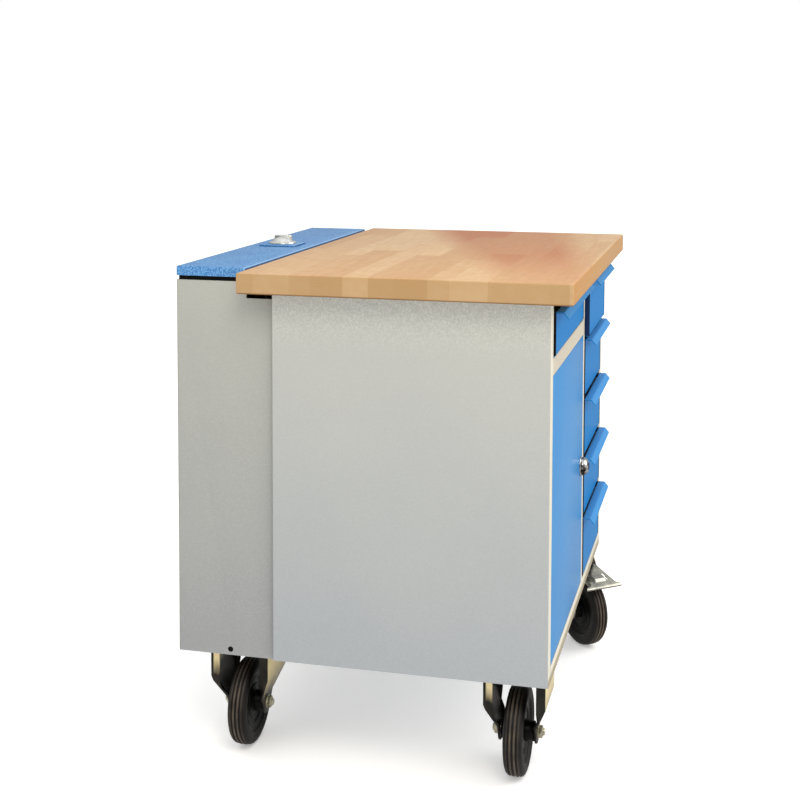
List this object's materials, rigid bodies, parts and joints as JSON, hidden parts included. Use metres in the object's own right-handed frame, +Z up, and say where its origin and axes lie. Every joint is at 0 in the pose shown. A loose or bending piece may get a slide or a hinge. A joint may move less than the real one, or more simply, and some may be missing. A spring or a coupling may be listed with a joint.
{
  "type": "mobile workbench with drawers",
  "caption": "Steel workbench on castors with a beech worktop, drawers, a lockable cupboard and a rear housing that holds a tool panel under a lift-out lid.",
  "frame": {"origin": "middle of the floor under the whole bench, halfway along its length and halfway between the worktop's front edge and the rear housing's back", "axes": "+Z up, -Y out of the front with the drawers and the door, +X to the right as seen from the front"},
  "size_m": [0.852, 0.7053, 0.8781],
  "materials": {
    "beech_top": "clear-lacquered beech staves, satin",
    "grey_paint": "light warm grey powder coat with a fine orange peel",
    "blue_smooth_paint": "satin blue powder coat",
    "blue_structure_paint": "textured blue powder coat",
    "galvanised_steel": "galvanised sheet",
    "zinc_plate": "bright zinc plating",
    "chrome": "polished nickel-chrome",
    "tyre_rubber": "black moulded rubber",
    "rim_plastic": "black moulded plastic"
  },
  "bodies": {
    "root": {"worktop": "beech_top", "left_side_panel": "grey_paint", "right_side_panel": "grey_paint", "cabinet_back": "grey_paint", "cabinet_base": "grey_paint", "front_frame": "grey_paint", "centre_partition": "grey_paint", "shelf": "grey_paint", "left_runner_outer": "galvanised_steel", "left_runner_inner": "galvanised_steel", "right_runners_inner": "galvanised_steel", "right_runners_outer": "galvanised_steel", "rear_housing_left": "grey_paint", "rear_housing_right": "grey_paint", "rear_housing_back": "grey_paint", "rear_housing_base": "grey_paint", "panel_guide_left": "galvanised_steel", "panel_guide_right": "galvanised_steel", "fixed_fork_front": "zinc_plate", "fixed_fork_rear": "zinc_plate", "fixed_axle_front": "zinc_plate", "fixed_axle_rear": "zinc_plate", "swivel_plate_front": "zinc_plate", "swivel_plate_rear": "zinc_plate", "door_pin_lower": "zinc_plate", "door_pin_upper": "zinc_plate"},
    "door": {"door_panel": "blue_smooth_paint", "door_lock_rosette": "chrome"},
    "door_lock": {"door_lock_knob": "chrome", "door_lock_cam": "zinc_plate"},
    "drawer_left": {"drawer_left_front": "blue_smooth_paint", "drawer_left_tray": "grey_paint"},
    "drawer_right_1": {"drawer_right_1_front": "blue_smooth_paint", "drawer_right_1_tray": "grey_paint"},
    "drawer_right_2": {"drawer_right_2_front": "blue_smooth_paint", "drawer_right_2_tray": "grey_paint"},
    "drawer_right_3": {"drawer_right_3_front": "blue_smooth_paint", "drawer_right_3_tray": "grey_paint"},
    "drawer_right_4": {"drawer_right_4_front": "blue_smooth_paint", "drawer_right_4_tray": "grey_paint"},
    "drawer_right_5": {"drawer_right_5_front": "blue_smooth_paint", "drawer_right_5_tray": "grey_paint"},
    "tool_lift": {"lid_cap": "blue_structure_paint", "lid_lock_plate": "blue_structure_paint", "tool_panel": "grey_paint"},
    "lid_lock": {"lid_knob": "chrome"},
    "fixed_wheel_front": {"fixed_front_tyre": "tyre_rubber", "fixed_front_rim": "rim_plastic"},
    "swivel_front": {"swivel_fork_front": "zinc_plate", "swivel_axle_front": "zinc_plate"},
    "swivel_wheel_front": {"swivel_front_tyre": "tyre_rubber", "swivel_front_rim": "rim_plastic"},
    "pedal_front": {"brake_pedal_front": "zinc_plate"},
    "fixed_wheel_rear": {"fixed_rear_tyre": "tyre_rubber", "fixed_rear_rim": "rim_plastic"},
    "swivel_rear": {"swivel_fork_rear": "zinc_plate", "swivel_axle_rear": "zinc_plate"},
    "swivel_wheel_rear": {"swivel_rear_tyre": "tyre_rubber", "swivel_rear_rim": "rim_plastic"},
    "pedal_rear": {"brake_pedal_rear": "zinc_plate"}
  },
  "joints": [
    {"name": "door_hinge", "type": "hinge", "parent": "root", "child": "door", "pos_m": [-0.3545, -0.2884, 0.457], "axis": [0, 0, -1], "range_deg": [0, 105]},
    {"name": "door_lock_turn", "type": "hinge", "parent": "door", "child": "door_lock", "pos_m": [0.027, -0.302, 0.45], "axis": [0, 1, 0], "range_deg": [0, 90]},
    {"name": "drawer_left_slide", "type": "slide", "parent": "root", "child": "drawer_left", "axis": [0, -1, 0], "range_m": [0, 0.38]},
    {"name": "drawer_right_1_slide", "type": "slide", "parent": "root", "child": "drawer_right_1", "axis": [0, -1, 0], "range_m": [-0.01, 0.37]},
    {"name": "drawer_right_2_slide", "type": "slide", "parent": "root", "child": "drawer_right_2", "axis": [0, -1, 0], "range_m": [0, 0.38]},
    {"name": "drawer_right_3_slide", "type": "slide", "parent": "root", "child": "drawer_right_3", "axis": [0, -1, 0], "range_m": [0, 0.38]},
    {"name": "drawer_right_4_slide", "type": "slide", "parent": "root", "child": "drawer_right_4", "axis": [0, -1, 0], "range_m": [0, 0.38]},
    {"name": "drawer_right_5_slide", "type": "slide", "parent": "root", "child": "drawer_right_5", "axis": [0, -1, 0], "range_m": [0, 0.38]},
    {"name": "tool_panel_lift", "type": "slide", "parent": "root", "child": "tool_lift", "axis": [0, 0, 1], "range_m": [0, 0.45]},
    {"name": "lid_lock_turn", "type": "hinge", "parent": "tool_lift", "child": "lid_lock", "pos_m": [0, 0.291, 0.87], "axis": [0, 0, 1], "range_deg": [0, 90]},
    {"name": "fixed_wheel_front_spin", "type": "hinge", "parent": "root", "child": "fixed_wheel_front", "pos_m": [-0.293, -0.2295, 0.075], "axis": [0, 1, 0], "continuous": true},
    {"name": "swivel_front_turn", "type": "hinge", "parent": "root", "child": "swivel_front", "pos_m": [0.337, -0.2385, 0.186], "axis": [0, 0, 1], "continuous": true},
    {"name": "swivel_wheel_front_spin", "type": "hinge", "parent": "swivel_front", "child": "swivel_wheel_front", "pos_m": [0.30176, -0.26807, 0.075], "axis": [0.6428, -0.766, 0], "continuous": true},
    {"name": "pedal_front_press", "type": "hinge", "parent": "swivel_front", "child": "pedal_front", "pos_m": [0.32627, -0.2475, 0.172], "axis": [0.6428, -0.766, 0], "range_deg": [0, 10]},
    {"name": "fixed_wheel_rear_spin", "type": "hinge", "parent": "root", "child": "fixed_wheel_rear", "pos_m": [-0.293, 0.254, 0.075], "axis": [0, 1, 0], "continuous": true},
    {"name": "swivel_rear_turn", "type": "hinge", "parent": "root", "child": "swivel_rear", "pos_m": [0.325, 0.254, 0.186], "axis": [0, 0, 1], "continuous": true},
    {"name": "swivel_wheel_rear_spin", "type": "hinge", "parent": "swivel_rear", "child": "swivel_wheel_rear", "pos_m": [0.28976, 0.22443, 0.075], "axis": [0.6428, -0.766, 0], "continuous": true},
    {"name": "pedal_rear_press", "type": "hinge", "parent": "swivel_rear", "child": "pedal_rear", "pos_m": [0.31428, 0.245, 0.172], "axis": [0.6428, -0.766, 0], "range_deg": [0, 10]}
  ]
}
